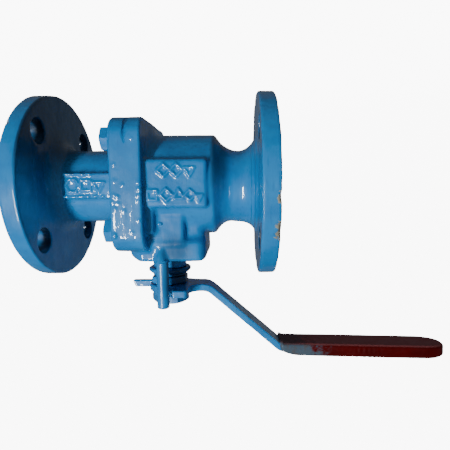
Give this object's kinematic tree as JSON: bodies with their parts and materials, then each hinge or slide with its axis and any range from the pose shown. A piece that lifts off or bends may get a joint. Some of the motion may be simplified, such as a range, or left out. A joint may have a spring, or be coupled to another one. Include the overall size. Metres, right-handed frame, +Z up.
{
  "type": "plug valve",
  "caption": "Two-piece flanged quarter-turn valve with a bored spherical plug, a stem with packing and gland, a stop pin and a cranked lever with a sleeve grip.",
  "frame": {"origin": "centre of the body flange's raised face, on the bore's axis", "axes": "+X along the bore from the body flange to the adaptor flange; +Z up along the stem; the open lever lies towards -X"},
  "size_m": [0.2894, 0.127, 0.1914],
  "materials": {
    "blue_paint": "thick glossy enamel brushed over cast and forged steel",
    "red_grip": "dipped glossy vinyl",
    "steel": "turned stainless steel",
    "polished_steel": "polished stainless steel",
    "white_seal": "PTFE",
    "graphite": "pressed flexible graphite"
  },
  "bodies": {
    "casing": {"body": "blue_paint", "adaptor": "blue_paint", "seat_ring_body": "white_seal", "seat_ring_adaptor": "white_seal", "body_gasket": "graphite", "thrust_washer": "white_seal", "packing_ring_1": "graphite", "packing_ring_2": "graphite", "packing_ring_3": "graphite", "gland_follower": "blue_paint", "stop_pin": "blue_paint", "body_bolt_1": "blue_paint", "body_bolt_2": "blue_paint", "body_bolt_3": "blue_paint", "body_bolt_4": "blue_paint"},
    "handle": {"stem": "steel", "disc_spring": "blue_paint", "stem_nut": "blue_paint", "lever": "blue_paint", "grip_sleeve": "red_grip", "lever_lock_washer": "blue_paint", "lever_nut": "blue_paint"},
    "closure": {"ball": "polished_steel"}
  },
  "joints": [
    {"name": "lever_turn", "type": "hinge", "parent": "casing", "child": "handle", "pos_m": [0.0772, 0, 0.0745], "axis": [0, 0, -1], "range_deg": [0, 90]},
    {"name": "ball_turn", "type": "hinge", "parent": "casing", "child": "closure", "pos_m": [0.0772, 0, 0], "axis": [0, 0, -1], "range_deg": [0, 90]}
  ],
  "couplings": [
    {"joint": "ball_turn", "follows": "lever_turn", "ratio": 1}
  ]
}
